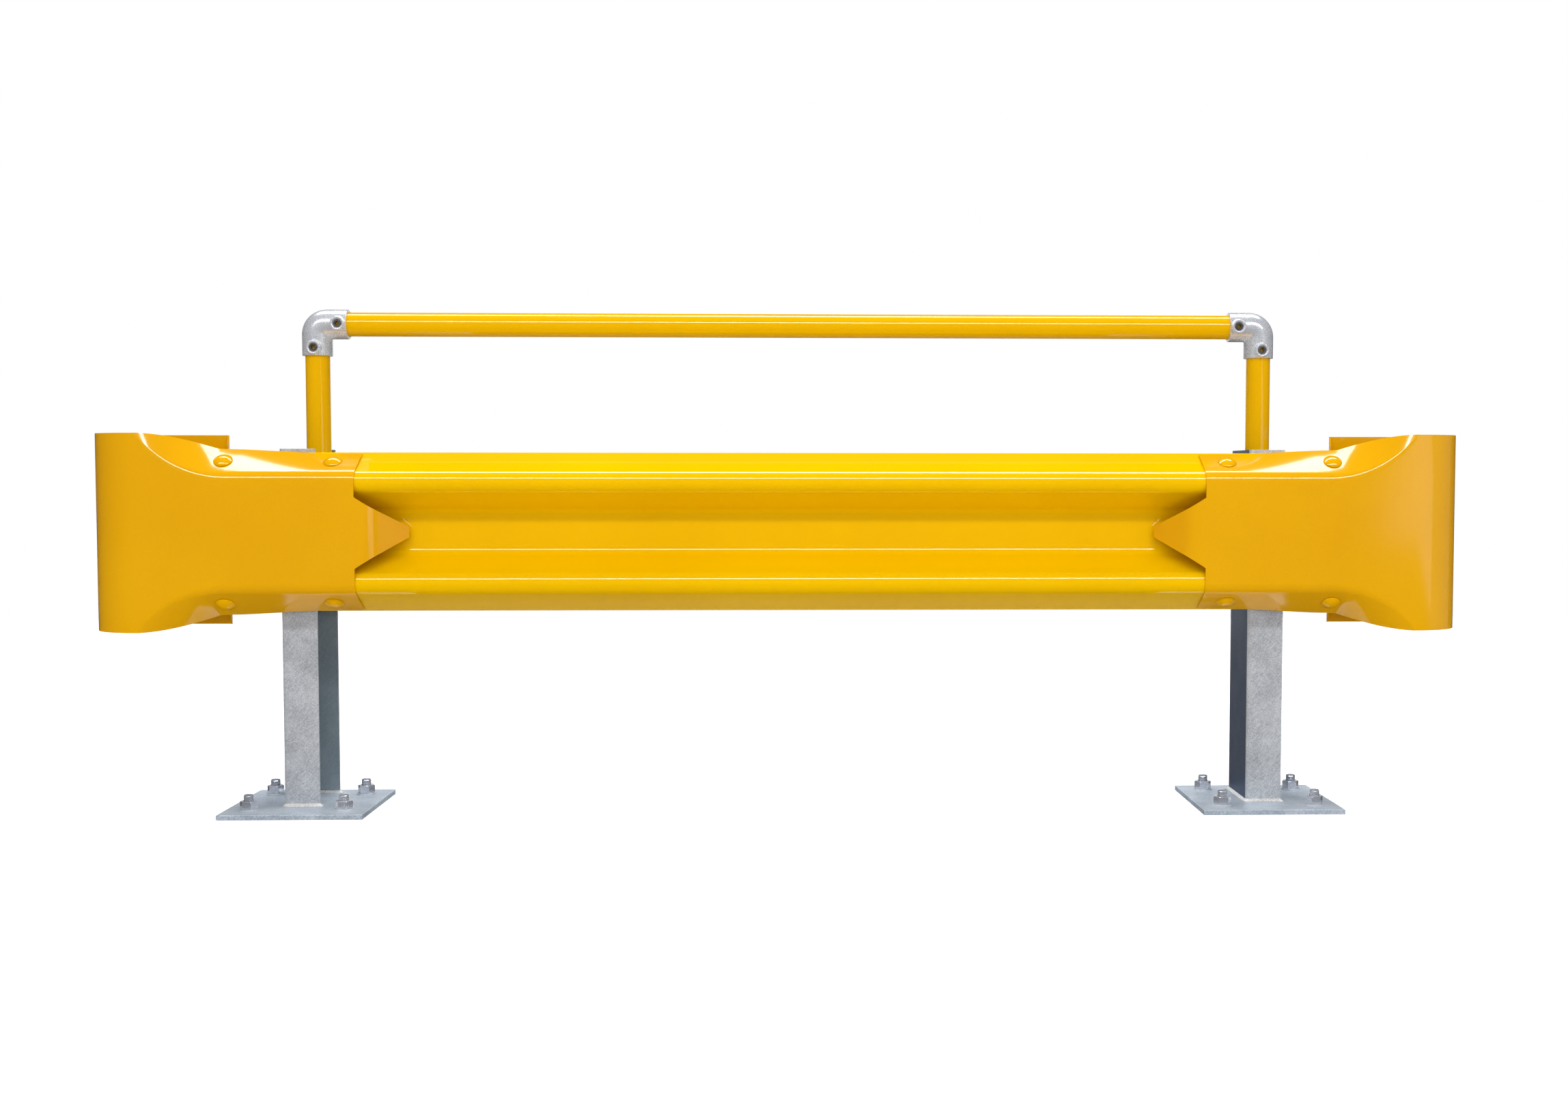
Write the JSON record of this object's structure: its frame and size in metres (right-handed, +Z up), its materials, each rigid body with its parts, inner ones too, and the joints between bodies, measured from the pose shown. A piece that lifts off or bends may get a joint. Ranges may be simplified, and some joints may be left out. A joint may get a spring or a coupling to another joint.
{
  "type": "industrial guard rail",
  "caption": "Floor-mounted guard rail: a yellow W-section beam with half-round pressed ends on two C-section posts with base plates, and a tubular handrail above.",
  "frame": {"origin": "on the floor under the middle of the rail, halfway across the base plates", "axes": "+X along the rail to the right, seen from its front; +Y from the beam's front to the handrail behind; +Z up"},
  "size_m": [2.688, 0.27, 1.001],
  "materials": {
    "rail_paint": "glossy yellow paint on the rolled beam",
    "end_paint": "glossy yellow paint on the pressed end pieces",
    "tube_paint": "satin yellow powder coat on the handrail tubes",
    "bolt_paint": "yellow paint over the bolt heads",
    "post_zinc": "hot-dip galvanised, dull spangle",
    "plate_zinc": "hot-dip galvanised, dull grey",
    "weld_zinc": "galvanised weld bead",
    "elbow_zinc": "galvanised casting, bright and slightly rough",
    "screw_steel": "bright zinc-plated steel",
    "anchor_steel": "dull zinc-plated steel",
    "washer_zinc": "zinc-plated steel",
    "fastener_zinc": "zinc-plated steel"
  },
  "bodies": {
    "root": {"left_anchor_nuts": "anchor_steel", "left_anchor_studs": "anchor_steel", "left_anchor_washers": "washer_zinc", "left_base_plate": "plate_zinc", "left_elbow": "elbow_zinc", "left_elbow_screw_side": "screw_steel", "left_elbow_screw_top": "screw_steel", "left_end_piece": "end_paint", "left_post": "post_zinc", "left_post_bolt": "fastener_zinc", "left_post_nut": "fastener_zinc", "left_post_washer": "washer_zinc", "left_post_weld": "weld_zinc", "left_splice_bolts": "bolt_paint", "left_splice_nuts": "fastener_zinc", "left_splice_washers": "washer_zinc", "left_upright_bolts": "fastener_zinc", "left_upright_nuts": "fastener_zinc", "left_upright_tube": "tube_paint", "left_upright_washers": "washer_zinc", "right_anchor_nuts": "anchor_steel", "right_anchor_studs": "anchor_steel", "right_anchor_washers": "washer_zinc", "right_base_plate": "plate_zinc", "right_elbow": "elbow_zinc", "right_elbow_screw_side": "screw_steel", "right_elbow_screw_top": "screw_steel", "right_end_piece": "end_paint", "right_post": "post_zinc", "right_post_bolt": "fastener_zinc", "right_post_nut": "fastener_zinc", "right_post_washer": "washer_zinc", "right_post_weld": "weld_zinc", "right_splice_bolts": "bolt_paint", "right_splice_nuts": "fastener_zinc", "right_splice_washers": "washer_zinc", "right_upright_bolts": "fastener_zinc", "right_upright_nuts": "fastener_zinc", "right_upright_tube": "tube_paint", "right_upright_washers": "washer_zinc", "top_rail_tube": "tube_paint", "w_beam_rail": "rail_paint"}
  },
  "joints": []
}
